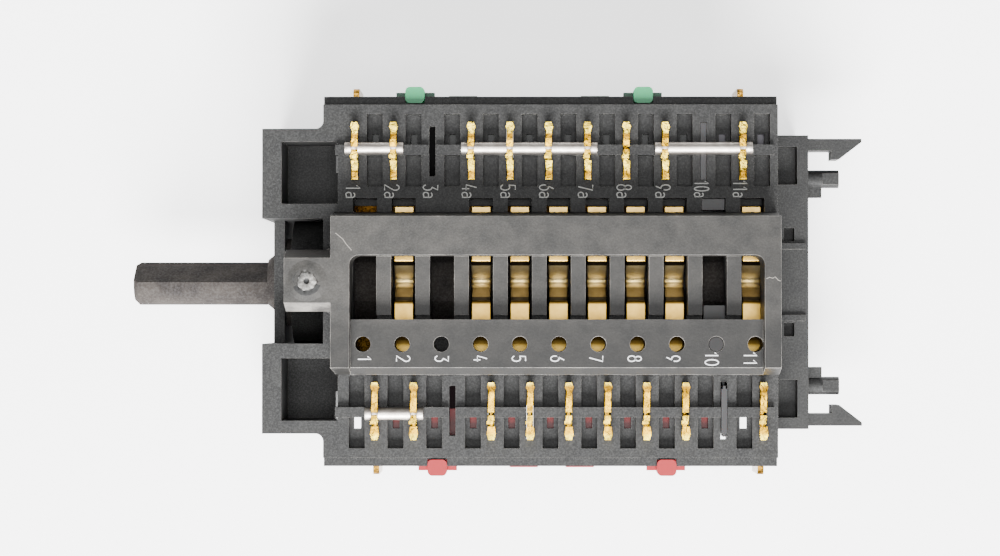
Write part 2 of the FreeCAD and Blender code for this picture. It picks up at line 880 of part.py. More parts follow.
def comb(side, knobs, bumps):
    """A coloured locking comb: its teeth stand between the blades and hold them down."""
    x0 = blade_x(1, side) + comb_end
    x1 = blade_x(blank_lane, side) - comb_end
    bar = box(x0, x1, side * comb_in, side * comb_out, comb_under, comb_top)
    slots = []
    for number in range(2, blank_lane):
        if number == closed_lane:
            continue
        x = blade_x(number, side)
        slots.append(box(x - comb_slot / 2, x + comb_slot / 2, side * (comb_in - over),
                         side * comb_slot_end, comb_under - over, comb_top + over))
    solids = [bar.cut(slots)]
    for x in knobs:
        knob = box(x - knob_width / 2, x + knob_width / 2, side * knob_in, side * knob_out,
                   comb_under, ledge_top + knob_proud)
        corners = edges_along(knob, Vector(0, 0, 1), lambda p: True)
        solids.append(knob.makeFillet(knob_width / 4, corners))
        solids.append(box(x - knob_width / 2, x + knob_width / 2, side * (comb_out - over),
                          side * (knob_out - knob_depth / 2), comb_under,
                          comb_top - comb_thick / 3))
        solids.append(box(x - wing_width / 2, x + wing_width / 2, side * (comb_out - over),
                          side * wing_out, comb_under, comb_top - comb_thick / 3))
    for x in bumps:
        solids.append(box(x - bump_width / 2, x + bump_width / 2, side * (comb_out - over),
                          side * bump_out, comb_under, comb_top - comb_thick / 2))
    return fused(solids)


def end_hook(side):
    """A snap arm with a barb that faces the shaft's axis."""
    x0 = end_plate_x1 - 1
    y_in, y_out = hook_y
    barb_x = end_plate_x1 + hook_barb_x
    outline = [
        (x0, side * y_in),
        (barb_x, side * y_in),
        (barb_x, side * (y_in - hook_barb)),
        (barb_x + hook_flat, side * (y_in - hook_barb)),
        (end_plate_x1 + hook_reach, side * (y_out - hook_tip)),
        (end_plate_x1 + hook_reach, side * y_out),
        (x0, side * y_out),
    ]
    return prism_z(outline, -hook_width / 2, hook_width / 2)


def end_plate():
    """The rear end moulding: shaft bearing, two snap arms and two locating pins."""
    x0 = header_x1 + fit
    x1 = end_plate_x1
    solids = [box(x0, x1, -plate_half, plate_half, base_z, end_plate_top)]
    cuts = [rod_x(journal_r + run_fit, x0 - over, header_x1 + journal_length + shell_fit)]
    for side in (1, -1):
        solids.append(end_hook(side))
        solids.append(rod_x(pin_r, x1 - over, x1 + pin_length, side * pin_y))
        solids.append(box(x1 - over, x1 + pin_foot_length, side * pin_foot_y[0],
                          side * pin_foot_y[1], -pin_r / 2, pin_r / 2))
        solids.append(box(x0 + shell_fit, x1 - rib_bar_inset, side * rib_bar_y - rib_bar_width / 2,
                          side * rib_bar_y + rib_bar_width / 2, end_plate_top - over,
                          end_plate_top + rib_bar_height))
        cuts.append(box(x0 + end_pocket_x[0], x0 + end_pocket_x[1], side * end_pocket_y[0],
                        side * end_pocket_y[1], end_plate_top - end_pocket_depth,
                        end_plate_top + over))
        cuts.append(box(x0 + key_pocket_x[0], x0 + key_pocket_x[1], side * key_pocket_y[0],
                        side * key_pocket_y[1], end_plate_top - key_pocket_depth,
                        end_plate_top + over))
        cuts.append(box(x1 + pin_step, x1 + pin_length + over, side * pin_y - pin_r,
                        side * pin_y + pin_r, pin_r - pin_step_cut, pin_r + over))
    return fused(solids).cut(cuts)


def rear_cover():
    """The trough that closes the cam tunnel and holds the detent ball and spring."""
    x0 = chamber_x0 + shell_fit
    x1 = header_x1 - shell_fit
    z0 = base_z + cover_chamfer
    section = [
        (-tunnel_half, parting_z - fit),
        (-tunnel_half, z0),
        (-tunnel_half + cover_chamfer, base_z),
        (tunnel_half - cover_chamfer, base_z),
        (tunnel_half, z0),
        (tunnel_half, parting_z - fit),
    ]
    trough = prism_x(section, x0, x1)
    tongue = box(barrel_x + shell_fit, x0 + over, -cover_tongue_half, cover_tongue_half,
                 base_z, -wheel_bore_r / 2)
    body = fused([trough, tongue])
    cuts = [
        rod_x(chamber_r, x0 + end_wall, x1 + over),
        rod_x(wheel_bore_r, barrel_x, x0 + end_wall + over),
        rod_z(ball_r + ball_fit, wheel_x, 0, spring_floor, 0),
    ]
    pitch = (x1 - x0) / (cover_rib_count + 1)
    for i in range(cover_rib_count):
        x = x0 + pitch * (i + 1)
        for side in (1, -1):
            cuts.append(box(x - pitch / 3, x + pitch / 3, side * (tunnel_half - cover_rib_depth),
                            side * (tunnel_half + over), z0 + over, parting_z - over))
    arms = [snap_arm(lane(number), side) for number in snap_lanes for side in (1, -1)]
    return fused([body.cut(cuts)] + arms)


def two_digit(number):
    return "%02d" % number


def nodes():
    made = {
        "housing": housing(),
        "rear_cover": rear_cover(),
        "end_plate": end_plate(),
        "contact_frame": contact_frame(),
        "camshaft": camshaft(),
        "detent_ball": detent_ball(),
        "detent_spring": detent_spring(),
        "upper_locking_comb": comb(1, upper_knobs, upper_bumps),
        "lower_locking_comb": comb(-1, lower_knobs, lower_bumps),
        "blank_insert_upper": blank_upper(),
        "blank_insert_lower": blank_lower(),
    }
    for number in terminal_lanes:
        made["upper_terminal_" + two_digit(number)] = terminal(number, 1)
        made["lower_terminal_" + two_digit(number)] = terminal(number, -1)
    for number in leaf_lanes:
        made["leaf_spring_" + two_digit(number)] = leaf(number)
    made["fixed_contact_buttons"] = buttons(fixed_tongue_top, leaf_lanes)
    made["moving_contact_buttons"] = buttons(leaf_under - leaf_step - button_thick, leaf_lanes)
    for row, side, wires in (("upper", 1, upper_wire_lanes), ("lower", -1, lower_wire_lanes)):
        for first, last in wires:
            name = "%s_jumper_%s_%s" % (row, two_digit(first), two_digit(last))
            made[name] = jumper(first, last, side)
    return made


os.makedirs("parts", exist_ok=True)
for name, shape in nodes().items():
    if not shape.isValid():
        print("not valid:", name)
    shape.exportStep("parts/" + name + ".step")
    print(name, len(shape.Solids), round(shape.Volume, 2))
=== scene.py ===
import math

import bpy
import numpy as np
from mathutils import Matrix, Vector


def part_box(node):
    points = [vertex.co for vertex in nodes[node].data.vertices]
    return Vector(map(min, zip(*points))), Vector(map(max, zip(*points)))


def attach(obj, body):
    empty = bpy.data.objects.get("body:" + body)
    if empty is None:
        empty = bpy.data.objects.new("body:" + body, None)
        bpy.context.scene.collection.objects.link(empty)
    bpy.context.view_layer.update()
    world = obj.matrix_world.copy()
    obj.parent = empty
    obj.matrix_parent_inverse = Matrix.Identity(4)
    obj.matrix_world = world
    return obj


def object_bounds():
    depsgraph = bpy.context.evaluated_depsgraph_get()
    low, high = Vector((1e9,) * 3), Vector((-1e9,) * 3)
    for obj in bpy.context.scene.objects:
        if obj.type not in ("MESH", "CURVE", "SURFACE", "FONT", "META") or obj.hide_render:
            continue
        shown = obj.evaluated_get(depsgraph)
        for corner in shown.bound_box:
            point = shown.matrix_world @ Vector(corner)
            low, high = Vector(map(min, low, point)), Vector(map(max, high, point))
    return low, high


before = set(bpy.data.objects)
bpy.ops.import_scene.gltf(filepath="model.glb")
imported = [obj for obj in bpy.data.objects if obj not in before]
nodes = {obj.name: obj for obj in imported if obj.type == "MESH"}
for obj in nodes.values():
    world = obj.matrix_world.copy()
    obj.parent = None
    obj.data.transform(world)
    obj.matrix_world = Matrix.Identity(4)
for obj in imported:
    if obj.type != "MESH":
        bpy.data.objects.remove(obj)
cad_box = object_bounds()
MM = 0.001


# Housing: one black moulding in glass-filled phenolic, pressed in a spark-eroded mould. The
# fibres leave a grey, finely mottled, matt skin. Its edges are paler, partly rubbed by handling
# and partly a painted highlight where they catch the light.
def linear(hex_colour):
    """An sRGB hex value as linear red, green, blue and alpha."""
    parts = [int(hex_colour[i:i + 2], 16) / 255 for i in (1, 3, 5)]
    return [c / 12.92 if c <= 0.04045 else ((c + 0.055) / 1.055) ** 2.4 for c in parts] + [1.0]


def add(tree, kind, links=None, stops=(), **settings):
    """Adds a node, sets its named properties or input values, links what feeds it, and gives a
    colour ramp its (position, hex) stops."""
    node = tree.nodes.new(kind)
    for name, value in settings.items():
        if hasattr(node, name):
            setattr(node, name, value)
        else:
            node.inputs[name.replace("_", " ")].default_value = value
    for name, source in (links or {}).items():
        tree.links.new(source, node.inputs[name])
    if stops:
        elements = node.color_ramp.elements
        elements.remove(elements[1])
        elements[0].position = stops[0][0]
        elements[0].color = linear(stops[0][1])
        for position, colour in stops[1:]:
            elements.new(position).color = linear(colour)
    return node


def new_material(name):
    """A material with an empty node tree."""
    material = bpy.data.materials.new(name)
    material.use_nodes = True
    material.node_tree.nodes.clear()
    return material, material.node_tree


def fibre_plastic(name, dark, light, roughness, speckle, grain_mm=0.22, gloss=0.3):
    """Glass-filled plastic: a cloud between two tones where the resin flowed, a share of pale
    fibre flecks added to it, and a relief that follows the flecks. Real glass fibres are about
    0.02 mm thick, and they are drawn coarser so that they show."""
    flow_mm = 3.0
    relief_mm = 0.05
    material, tree = new_material(name)
    place = add(tree, "ShaderNodeTexCoord").outputs["Object"]
    cloud = add(tree, "ShaderNodeTexNoise", {"Vector": place},
                Scale=1 / (flow_mm * MM), Detail=3.0, Roughness=0.6)
    grain = add(tree, "ShaderNodeTexNoise", {"Vector": place},
                Scale=1 / (grain_mm * MM), Detail=2.0, Roughness=0.8)
    tone = add(tree, "ShaderNodeValToRGB", {"Fac": cloud.outputs["Fac"]},
               [(0.35, dark), (0.65, light)])
    fleck = add(tree, "ShaderNodeValToRGB", {"Fac": grain.outputs["Fac"]},
                [(0.42, "#000000"), (0.66, "#ffffff")])
    colour = add(tree, "ShaderNodeMix", {"A": tone.outputs["Color"], "B": fleck.outputs["Color"]},
                 data_type="RGBA", blend_type="ADD", Factor=speckle)
    relief = add(tree, "ShaderNodeBump", {"Height": grain.outputs["Fac"]},
                 Strength=0.5, Distance=relief_mm * MM)
    shader = add(tree, "ShaderNodeBsdfPrincipled",
                 {"Base Color": colour.outputs["Result"], "Normal": relief.outputs["Normal"]},
                 Roughness=roughness, IOR=1.5, Specular_IOR_Level=gloss)
    add(tree, "ShaderNodeOutputMaterial", {"Surface": shader.outputs["BSDF"]})
    return material


def soften(node, radius_mm, material, edge=None):
    """Gives a CAD node its finish and rounds its edges, as a mould or a die leaves them: loose
    triangles are welded, flat faces joined, and corners sharper than 40 degrees bevelled. The
    bevels take the edge's finish, where one is named."""
    obj = nodes[node]
    obj.data.materials.clear()
    obj.data.materials.append(material)
    obj.data.materials.append(edge or material)
    weld = obj.modifiers.new("merge", "WELD")
    weld.merge_threshold = 0.002 * MM
    flats = obj.modifiers.new("flats", "DECIMATE")
    flats.decimate_type = "DISSOLVE"
    flats.angle_limit = math.radians(0.4)
    bevel = obj.modifiers.new("edge", "BEVEL")
    bevel.width = radius_mm * MM
    bevel.segments = 2
    bevel.limit_method = "ANGLE"
    bevel.angle_limit = math.radians(40)
    bevel.use_clamp_overlap = True
    bevel.material = 1
    obj.data.polygons.foreach_set("use_smooth", [True] * len(obj.data.polygons))
    normals = obj.modifiers.new("normals", "WEIGHTED_NORMAL")
    normals.mode = "FACE_AREA_WITH_ANGLE"
    normals.weight = 90
    normals.keep_sharp = False


housing_skin = fibre_plastic("glass_filled_phenolic", dark="#111111", light="#1b1b1a",
                             roughness=0.6, speckle=0.022)
# Paler finishes for bevelled edges: partly rubbing, partly painted highlight on the edges.
rubbed_and_highlit_edge = fibre_plastic("rubbed_and_highlit_phenolic_edge", dark="#343230", light="#78746e",
                            roughness=0.5, speckle=0.06)
worn_and_highlit_rib = fibre_plastic("worn_and_highlit_phenolic_rib", dark="#4a4844", light="#98938b",
                         roughness=0.5, speckle=0.08)
soften("housing", 0.12, housing_skin, worn_and_highlit_rib)


# Contact frame: the raised moulding heat-staked over the springs, in the same resin but
# smoother and a little greyer. It is painted palest near its neck and darkest on the low band,
# as painted shade. Its edges are paler, partly rubbed and partly painted highlight, and the
# neck's near slope has a painted highlight.
def toned(material, axis, stops):
    """Multiplies a finish by tones along one axis of the part, given as (mm, hex): the tone runs
    straight from each stop to the next, and stays the same before the first and past the last."""
    tree = material.node_tree
    base = tree.nodes["Principled BSDF"].inputs["Base Color"]
    start = stops[0][0]
    end = stops[-1][0]
    place = add(tree, "ShaderNodeTexCoord").outputs["Object"]
    split = add(tree, "ShaderNodeSeparateXYZ", {"Vector": place})
    along = add(tree, "ShaderNodeMapRange", {"Value": split.outputs[axis]},
                From_Min=start * MM, From_Max=end * MM)
    tone = add(tree, "ShaderNodeValToRGB", {"Fac": along.outputs["Result"]},
               [((mm - start) / (end - start), colour) for mm, colour in stops])
    mix = add(tree, "ShaderNodeMix", {"B": tone.outputs["Color"]},
              data_type="RGBA", blend_type="MULTIPLY", Factor=1.0)
    if base.is_linked:
        tree.links.new(base.links[0].from_socket, mix.inputs["A"])
    else:
        mix.inputs["A"].default_value = base.default_value
    tree.links.new(mix.outputs["Result"], base)


def rub_slope(obj, reach_x, foot_y, head_y):
    """Gives the second finish, a painted highlight, to the faces that lean to -Y and up, towards
    the near light, and whose middles lie before one place along X and between two along Y."""
    mesh = obj.data
    middles = np.zeros(len(mesh.polygons) * 3)
    leans = np.zeros(len(mesh.polygons) * 3)
    mesh.polygons.foreach_get("center", middles)
    mesh.polygons.foreach_get("normal", leans)
    x, y = middles.reshape(-1, 3).T[:2] / MM
    lean_y, lean_z = leans.reshape(-1, 3).T[1:]
    hit = (x < reach_x) & (y > foot_y) & (y < head_y) & (lean_y < -0.5) & (lean_z > 0.1)
    mesh.polygons.foreach_set("material_index", hit.astype(np.int32))


frame_skin = fibre_plastic("smooth_phenolic", dark="#22211f", light="#34322f",
                           roughness=0.5, speckle=0.012, grain_mm=0.25)
# Painted shade: darker on the low band, and then a long fall from the neck to the far end.
toned(frame_skin, "Y", [(-13.0, "#9a9a9a"), (-6.0, "#bcbcbc"), (-4.0, "#ffffff")])
toned(frame_skin, "X", [(9.0, "#ffffff"), (34.65, "#e6e6e6"), (66.0, "#cfcfcf")])
soften("contact_frame", 0.15, frame_skin, rubbed_and_highlit_edge)
# A painted highlight on the neck's near slope, which faces the near light.
rub_slope(nodes["contact_frame"], reach_x=10.0, foot_y=-4.2, head_y=-2.6)


# Painted shade: flat dark strips set under openings that lie in shadow. Lane 3 has no blades,
# and a nearly black strip closes each of its slots, tinged red in the lower row as painted shade
# over the comb. The last two windows of the upper row are closed by a paler grey strip of
# painted shade.
def middle_x(node):
    """The middle of a CAD node along X, in mm."""
    low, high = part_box(node)
    return (low.x + high.x) / 2 / MM


lane_2_x = middle_x("leaf_spring_02")
lane_pitch = (middle_x("leaf_spring_11") - lane_2_x) / (11 - 2)
plate_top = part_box("blank_insert_upper")[1].z / MM
blade_shift = 1.3
slot_y = 16.75
slot_half = 3.22
slot_width = 0.8
upper_slot_shade_depth = 1.75
lower_slot_shade_depth = 2.5
lower_slot_shade_end = -16.55
window_shift = 1.0
window_y = (16.6, 19.7)
window_width = 1.5
window_shade_depth = 2.9


def lane_x(number):
    """The middle of a lane along X, in mm."""
    return lane_2_x + lane_pitch * (number - 2)


def joined(name, parts):
    """One mesh object from (points, faces) pairs, whose faces count on from part to part."""
    starts = np.cumsum([0] + [len(points) for points, faces in parts])
    points = np.concatenate([points for points, faces in parts])
    faces = np.concatenate([part[1] + start for part, start in zip(parts, starts)])
    mesh = bpy.data.meshes.new(name)
    mesh.from_pydata(points.tolist(), [], faces.tolist())
    obj = bpy.data.objects.new(name, mesh)
    bpy.context.collection.objects.link(obj)
    return obj


def web(name, x, width, y, depth, colour):
    """A flat strip of painted shade from one y to another, at one depth under the plate, as a
    grid of one column and eight rows."""
    rows = 8
    across, along = np.meshgrid([x - width / 2, x + width / 2], np.linspace(*y, rows + 1))
    level = np.full(across.size, plate_top - depth)
    points = np.stack([across.ravel(), along.ravel(), level], axis=1)
    low = np.arange(rows) * 2
    faces = np.stack([low, low + 1, low + 3, low + 2], axis=1)
    obj = joined(name, [(points * MM, faces)])
    obj.data.materials.append(fibre_plastic(name + "_resin", dark=colour, light=colour,
                                            roughness=0.7, speckle=0.0, grain_mm=0.25,
                                            gloss=0.05))
    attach(obj, "switch_body")


web("upper_slot_painted_shade", lane_x(3) - blade_shift, slot_width,
    (slot_y - slot_half, slot_y + slot_half), upper_slot_shade_depth, "#040404")
web("lower_slot_painted_shade", lane_x(3) + blade_shift, slot_width,
    (lower_slot_shade_end, slot_half - slot_y), lower_slot_shade_depth, "#0d0507")
for lane in (10, 11):
    web("lane_%d_window_web" % lane, lane_x(lane) + window_shift, window_width, window_y,
        window_shade_depth, "#77757a")


# Heat-stake: a peg of the housing melted over the frame's neck. The hot tool leaves a pale
# ragged button with a vent hole in it, and the resin around it sinks into a soft ring. The ring
# is drawn as a low collar, and its near side and the vent hole are painted dark as painted shade.
stake_x = 6.3
stake_y = -0.1
frame_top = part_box("contact_frame")[1].z / MM
vent_radius = 0.5
button_radius = 1.17
ragged_waves = [(0.05, 3, 0.6), (0.05, 7, 0.0), (0.04, 11, 2.0)]
ring_share = 0.15
crumb_height = 0.03
crumb_waves = 9
near_side = -0.35
turn_steps = 64
# Finishes: the frame's skin, pale remelted resin, painted shade, painted shade on the near side
# only.
plain, pale, painted_shade_finish, near_shade = range(4)
stake_profile = [
    (0.02, 0.17, painted_shade_finish), (0.3, 0.17, painted_shade_finish), (0.36, 0.27, pale), (0.55, 0.32, pale),
    (0.9, 0.3, pale), (1.1, 0.26, pale), (1.16, 0.17, plain), (1.24, 0.165, near_shade),
    (1.55, 0.16, near_shade), (1.85, 0.12, plain), (2.2, 0.06, plain), (2.6, 0.012, plain)]


def melted_stake(name, finishes):
    """The profile of (radius, height, finish) points turned around Z. A radius is stretched by a
    sum of cosines of the angle, in full on the button and by a small share outside it, and the
    button's height also waves by a cosine. Each face takes the finish of its inner point, and the
    near ring keeps its painted shade only where the sine of the angle is low, on the near side."""
    radius, height, finish = (np.array(values)[:, None] for values in zip(*stake_profile))
    angle = np.linspace(0, 2 * np.pi, turn_steps, endpoint=False)
    wander = sum(size * np.cos(waves * angle + turn) for size, waves, turn in ragged_waves)
    on_button = (radius > vent_radius) & (radius <= button_radius)
    reach = radius * (1 + wander * np.where(on_button, 1.0, ring_share))
    rise = height + crumb_height * np.cos(crumb_waves * angle) * on_button
    points = np.stack([stake_x + reach * np.cos(angle), stake_y + reach * np.sin(angle),
                       frame_top + rise], axis=2)
    inner = np.arange(len(stake_profile) - 1)[:, None] * turn_steps
    step = np.arange(turn_steps)
    after = (step + 1) % turn_steps
    outer = inner + turn_steps
    faces = np.stack([inner + step, outer + step, outer + after, inner + after], axis=2)
    obj = joined(name, [(points.reshape(-1, 3) * MM, faces.reshape(-1, 4))])
    for material in finishes:
        obj.data.materials.append(material)
    near = np.where(np.sin(angle) < near_side, painted_shade_finish, plain)
    finish = np.where(finish[:-1] == near_shade, near, finish[:-1])
    obj.data.polygons.foreach_set("material_index", finish.ravel().astype(np.int32))
    obj.data.polygons.foreach_set("use_smooth", [True] * len(obj.data.polygons))
    return obj


stake_pale = fibre_plastic("remelted_phenolic", dark="#3a3937", light="#77746f",
                           roughness=0.55, speckle=0.08, grain_mm=0.3)
# Painted shade for the vent hole and the near side of the ring.
stake_painted_shade = fibre_plastic("painted_shade_phenolic", dark="#0c0c0c", light="#161615",
                           roughness=0.6, speckle=0.01, grain_mm=0.25)
stake = melted_stake("stake_button", (frame_skin, stake_pale, stake_painted_shade))
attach(stake, "switch_body")


# End plate and rear cover: plainer mouldings of the same black phenolic, snapped on behind.
# They sit lower, keep their mould skin and look darker than the terminal plate.
cover_skin = fibre_plastic("black_phenolic", dark="#121212", light="#1c1c1b",
                           roughness=0.58, speckle=0.015, grain_mm=0.25)
# The end plate's bevels take the paler edge finish: partly rubbing, partly painted highlight.
soften("end_plate", 0.12, cover_skin, rubbed_and_highlit_edge)
soften("rear_cover", 0.2, cover_skin)


# Camshaft: shaft, hub, detent wheel and cams in one moulding of black glass-filled nylon.
# It is a little browner than the phenolic, quite matt, and speckled by its fibres.
shaft_skin = fibre_plastic("glass_filled_nylon", dark="#2a2726", light="#3a3633",
                           roughness=0.75, speckle=0.02, grain_mm=0.3, gloss=0.04)
soften("camshaft", 0.1, shaft_skin)


# Terminals: brass strip 0.8 mm thick, punched and coined. Along each blade the coined tips are
# painted bright, the arms a deeper yellow and the necks a dull brown, as painted highlight and
# shade. The low tabs are painted a purplish brown and the tongues that run in under the frame
# dark, as painted shade.
def worked_metal(name, dark, light, roughness, lump_mm, lump):
    """Rolled, drawn or punched metal: a tarnish cloud between two tones, and a relief of smooth
    lumps of one width, as uneven as the work leaves them."""
    tarnish_mm = 1.4
    lump_height_mm = 0.12
    material, tree = new_material(name)
    place = add(tree, "ShaderNodeTexCoord").outputs["Object"]
    cloud = add(tree, "ShaderNodeTexNoise", {"Vector": place},
                Scale=1 / (tarnish_mm * MM), Detail=3.0, Roughness=0.6)
    lumps = add(tree, "ShaderNodeTexNoise", {"Vector": place},
                Scale=1 / (lump_mm * MM), Detail=2.0, Roughness=0.5)
    colour = add(tree, "ShaderNodeValToRGB", {"Fac": cloud.outputs["Fac"]},
                 [(0.35, dark), (0.65, light)])
    relief = add(tree, "ShaderNodeBump", {"Height": lumps.outputs["Fac"]},
                 Strength=lump, Distance=lump_height_mm * MM)
    shader = add(tree, "ShaderNodeBsdfPrincipled",
                 {"Base Color": colour.outputs["Color"], "Normal": relief.outputs["Normal"]},
                 Metallic=1.0, Roughness=roughness)
    add(tree, "ShaderNodeOutputMaterial", {"Surface": shader.outputs["BSDF"]})
    return material


blade_brass = worked_metal("punched_brass", dark="#86701c", light="#dcc244",
                           roughness=0.24, lump_mm=0.55, lump=0.8)
# Painted shade on the tabs and tongues, which lie below the top of the plate.
toned(blade_brass, "Z", [(13.0, "#a89098"), (13.6, "#ffffff")])
# Painted shade on the tongues under the frame, from the lower row's to the upper row's.
toned(blade_brass, "Y", [(-12.4, "#ffffff"), (-11.9, "#2a282e"), (11.9, "#4c464e"),
                         (12.4, "#ffffff")])
# Painted highlight and shade along an upper blade outwards: bright tail, dull patch, bright arm,
# yellower around the wire, dull neck, bright tip.
toned(blade_brass, "Y", [(12.4, "#ffffff"), (13.01, "#fff2c8"), (13.31, "#b09a70"),
                         (14.07, "#b8a078"), (14.53, "#ffffff"), (16.2, "#fff6dc"),
                         (16.81, "#e8cf80"), (18.18, "#e8cf80"), (18.4, "#9c8660"),
                         (18.86, "#a89068"), (19.16, "#ffffff")])
# Painted highlight and shade along a lower blade inwards: yellow tail, pale patch, yellow arm,
# dull neck, bright tip.
toned(blade_brass, "Y", [(-20.0, "#ffffff"), (-19.54, "#e6cc70"), (-18.48, "#e6cc70"),
                         (-18.18, "#fff6dc"), (-16.2, "#e8cf80"), (-14.53, "#e8cf80"),
                         (-14.22, "#9c8660"), (-13.62, "#a89068"), (-13.16, "#ffffff")])
for name in nodes:
    if "_terminal_" in name:
        soften(name, 0.14, blade_brass)


# Jumper wires: tinned copper 1.6 mm thick, pressed into the forks of the blades.
# The tin is bright and only faintly scratched along the wire.
tin = worked_metal("tinned_copper", dark="#bdb4ac", light="#ddd5cb",
                   roughness=0.44, lump_mm=1.2, lump=0.25)
for name in nodes:
    if "_jumper_" in name:
        soften(name, 0.06, tin)


# Leaf springs: hard-rolled brass strip, folded over a tool and smooth, with a silky shine. Its
# tones are painted reflection and shade: the bends beside the nose and the step are painted
# almost black, a painted reflection of the black frame, the nose itself a dull gold, and the
# lowest stretches a richer yellow.
leaf_brass = worked_metal("spring_brass", dark="#e6e2d8", light="#ffffff",
                          roughness=0.38, lump_mm=1.5, lump=0.12)
# Painted reflection and shade by height: lowest stretches, flanks of the fold, bends, nose.
toned(leaf_brass, "Z", [(10.45, "#ffd03c"), (10.65, "#d8c79b"), (12.7, "#d8c79b"),
                        (12.8, "#2c261e"), (13.325, "#2c261e"), (13.425, "#af8f47")])
# Painted shade on the near flank of the fold.
toned(leaf_brass, "Y", [(-3.0, "#ffffff"), (-2.86, "#6c6862"), (-0.84, "#6c6862"),
                        (-0.6, "#ffffff")])
# Painted shade on the foot and the step, seen through the holes of the band: dark at the far
# side of each hole, pale at the near side.
toned(leaf_brass, "Y", [(-9.2, "#f4f8ff"), (-8.54, "#d8dcd8"), (-8.06, "#5c5a54"),
                        (-7.55, "#26241f"), (-7.11, "#26241f"), (-7.0, "#ffffff")])
# The contact end, seen through the windows of the plate.
toned(leaf_brass, "Y", [(7.0, "#ffffff"), (8.0, "#e6d2a0")])
for name in nodes:
    if name.startswith("leaf_spring_"):
        soften(name, 0.16, leaf_brass)


# Contact pads: small square buttons of silver alloy, welded to the springs and to the fixed
# tongues. They are whiter than the brass, with a soft gloss.
silver = worked_metal("contact_silver", dark="#c4c0b8", light="#dedbd4",
                      roughness=0.35, lump_mm=0.7, lump=0.2)
for name in ("fixed_contact_buttons", "moving_contact_buttons"):
    soften(name, 0.15, silver)


# Locking combs: a green and a red moulding of unfilled nylon that hold each row's blades. The
# nylon is slightly waxy, so light goes a little way into it. Only the knobs that stand out of
# the housing show the clean colour; what lies inside is painted deeper and darker, as painted
# shade.
def nylon(name, colour, depth_mm):
    """Coloured nylon with a satin skin, which light enters to a given depth."""
    material, tree = new_material(name)
    shader = add(tree, "ShaderNodeBsdfPrincipled", Base_Color=linear(colour), Roughness=0.38,
                 IOR=1.53, Specular_IOR_Level=0.2, Subsurface_Weight=0.15,
                 Subsurface_Scale=depth_mm * MM)
    add(tree, "ShaderNodeOutputMaterial", {"Surface": shader.outputs["BSDF"]})
    return material


green_nylon = nylon("green_nylon", "#2f8458", depth_mm=0.5)
# Painted shade below the ledge, on the parts under the knobs.
toned(green_nylon, "Z", [(11.14, "#ab9fab"), (12.26, "#ffffff")])
# Painted shade inward of the knobs, on what shows in the windows.
toned(green_nylon, "Y", [(22.5, "#1c2420"), (23.0, "#ffffff")])
red_nylon = nylon("red_nylon", "#8a1c20", depth_mm=0.5)
# Painted shade inward of the knobs, on what shows in the windows.
toned(red_nylon, "Y", [(-23.0, "#ffffff"), (-22.5, "#a86c70")])
soften("upper_locking_comb", 0.3, green_nylon)
soften("lower_locking_comb", 0.3, red_nylon)


# Blank inserts: plain grey nylon pieces pushed into the lane that has no contacts, one in each
# row. The lower one also plugs its lane's hole in the frame's band, and looks darker there.
grey_nylon = nylon("grey_nylon", "#2b2a2b", depth_mm=0.3)
toned(grey_nylon, "Y", [(-12.0, "#ffffff"), (-11.04, "#8c8a88"), (-4.8, "#8c8a88"),
                        (-3.6, "#ffffff")])
for name in ("blank_insert_upper", "blank_insert_lower"):
    soften(name, 0.06, grey_nylon)


# Detent: a hardened steel ball on a short coil of spring wire, under the toothed wheel.
# The ball is ground and the wire drawn bright, and the rear cover hides both.
steel = worked_metal("ground_steel", dark="#a9aaac", light="#c6c7c9",
                     roughness=0.22, lump_mm=2.0, lump=0.05)
for name in ("detent_ball", "detent_spring"):
    obj = nodes[name]
    obj.data.materials.clear()
    obj.data.materials.append(steel)


# Lane numbers: narrow figures marked by a laser, on the plate with a letter and on the frame's
# band without. The laser foams the resin to a dull light grey skin with no real thickness; the
# plate's figures are painted greyer than the band's, as painted shade under the frame's beam.
lane_count = 11
plate_mark_height = 1.88
plate_mark_shift = -2.47
plate_mark_y = 11.6
long_mark_y = 11.9
long_mark_squeeze = 0.79
band_mark_height = 1.7
band_mark_pitch = 4.912
band_mark_shift = -0.62
band_mark_y = -9.95
plug_sunk = 0.04
band_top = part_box("blank_insert_lower")[1].z / MM + plug_sunk
mark_width = 0.7
mark_gap = 0.26
mark_stroke = 0.14
mark_rise = 0.012


def bow(x, y, half_x, half_y, start, stop):
    """Points on an ellipse's arc, from one angle in degrees to another."""
    turn = np.radians(np.linspace(start, stop, 25))
    return np.stack([x + half_x * np.cos(turn), y + half_y * np.sin(turn)], axis=1)


def stroke(*parts):
    """One pen stroke through corners and arcs, in a box one unit wide and one high."""
    return np.concatenate([np.atleast_2d(part) for part in parts])


